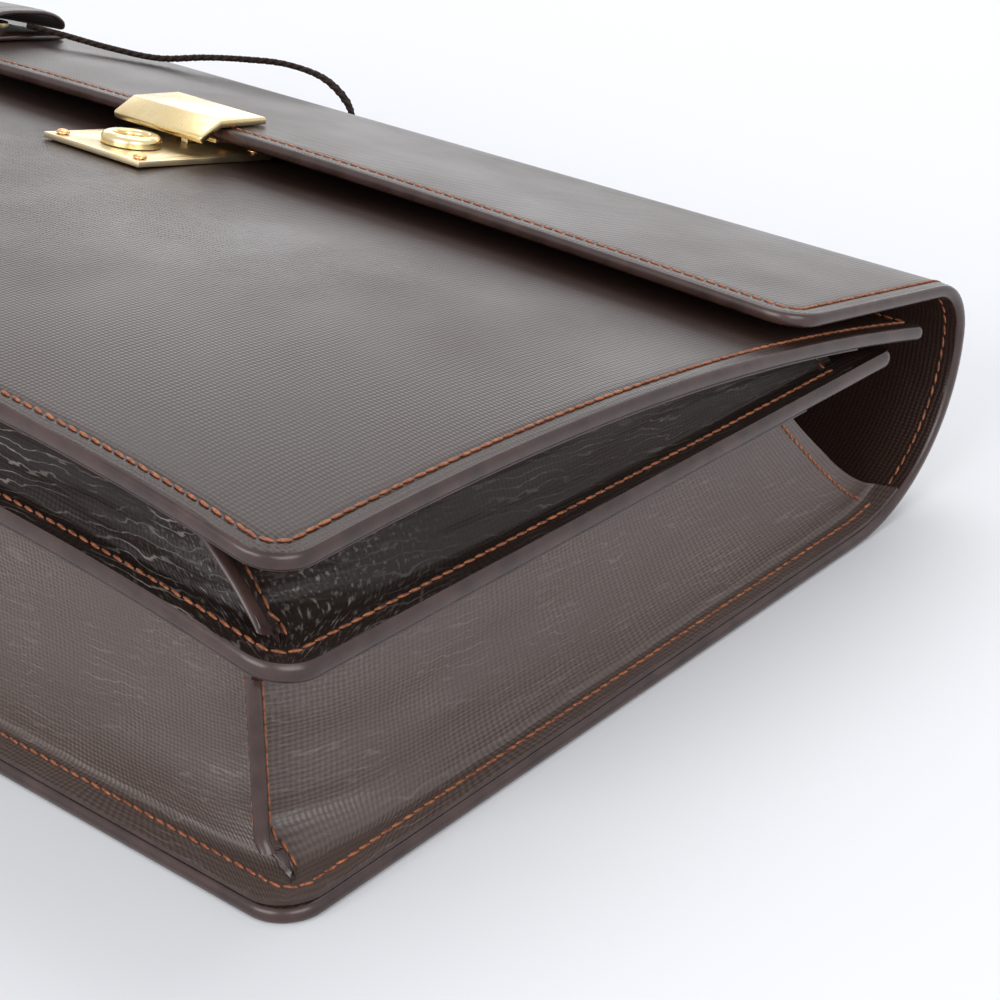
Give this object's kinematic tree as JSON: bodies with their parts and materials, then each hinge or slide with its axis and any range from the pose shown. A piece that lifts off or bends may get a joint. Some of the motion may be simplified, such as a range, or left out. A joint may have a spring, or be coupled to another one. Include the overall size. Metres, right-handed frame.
{
  "type": "leather briefcase",
  "caption": "Flap-over leather briefcase lying on its back, with gusseted compartments, a brass key lock and hasp, a hinged carrying handle, a zipped inner pocket and a key bell on a cord.",
  "frame": {"origin": "middle of the footprint, on the surface the case lies on", "axes": "+X to the right seen from the front, +Y towards the top edge and handle, +Z out of the front face (up as it lies)"},
  "size_m": [0.41, 0.3104, 0.0936],
  "materials": {
    "brown_leather": "dark brown, fine embossed grain, satin",
    "gusset_leather": "thin dark brown leather, matte, creased",
    "polished_brass": "polished",
    "rivet_copper": "polished, coppery",
    "lock_steel": "plain",
    "zip_nickel": "nickel plate",
    "zip_tape": "woven",
    "braided_cord": "braided"
  },
  "bodies": {
    "case": {"back_panel": "brown_leather", "divider_panel": "brown_leather", "front_panel": "brown_leather", "back_gusset_right": "gusset_leather", "back_gusset_left": "gusset_leather", "back_gusset_bottom": "gusset_leather", "front_gusset_right": "gusset_leather", "front_gusset_left": "gusset_leather", "front_gusset_bottom": "gusset_leather", "lock_plate": "polished_brass", "lock_bezel": "polished_brass", "lock_case": "lock_steel", "plate_rivet_1": "rivet_copper", "plate_rivet_2": "rivet_copper", "plate_rivet_3": "rivet_copper", "plate_rivet_4": "rivet_copper", "handle_bracket_right": "polished_brass", "handle_bracket_left": "polished_brass", "handle_pin_right": "polished_brass", "handle_pin_left": "polished_brass", "bracket_rivet_right_inner": "polished_brass", "bracket_rivet_right_outer": "polished_brass", "bracket_rivet_left_inner": "polished_brass", "bracket_rivet_left_outer": "polished_brass", "zip_tape": "zip_tape", "zip_teeth": "zip_nickel", "cord_front_end": "braided_cord", "cord_back_end": "braided_cord", "cord_knot": "braided_cord"},
    "flap": {"flap": "brown_leather", "hasp_front": "polished_brass", "hasp_back": "polished_brass", "hasp_rivet_1": "rivet_copper", "hasp_rivet_2": "rivet_copper", "hasp_staple": "polished_brass", "bell_back": "brown_leather", "bell_front": "brown_leather", "key": "polished_brass", "cord_front": "braided_cord", "cord_back": "braided_cord"},
    "handle": {"handle_grip": "brown_leather", "handle_eye_right": "polished_brass", "handle_eye_left": "polished_brass"},
    "key_plug": {"key_plug": "polished_brass"},
    "lock_bolt": {"lock_bolt": "lock_steel"},
    "zip_slider": {"zip_slider": "zip_nickel", "zip_pull": "zip_nickel"}
  },
  "joints": [
    {"name": "flap_hinge", "type": "hinge", "parent": "case", "child": "flap", "pos_m": [0, 0.09348, 0.0532], "axis": [-1, 0, 0], "range_deg": [0, 140], "deforming": ["cord_front_end", "cord_back_end"]},
    {"name": "handle_pivot", "type": "hinge", "parent": "case", "child": "handle", "pos_m": [0, 0.10107, 0.0289], "axis": [1, 0, 0], "range_deg": [0, 40]},
    {"name": "key_turn", "type": "hinge", "parent": "case", "child": "key_plug", "pos_m": [0, -0.00348, 0.07311], "axis": [0, 0.2243, 0.9745], "range_deg": [0, 90]},
    {"name": "bolt_slide", "type": "slide", "parent": "case", "child": "lock_bolt", "axis": [1, 0, 0], "range_m": [0, 0.005]},
    {"name": "zip_slide", "type": "slide", "parent": "case", "child": "zip_slider", "axis": [-1, 0, 0], "range_m": [0, 0.34]}
  ],
  "couplings": [
    {"joint": "key_turn", "follows": "bolt_slide", "rad_per_m": 314.15}
  ]
}
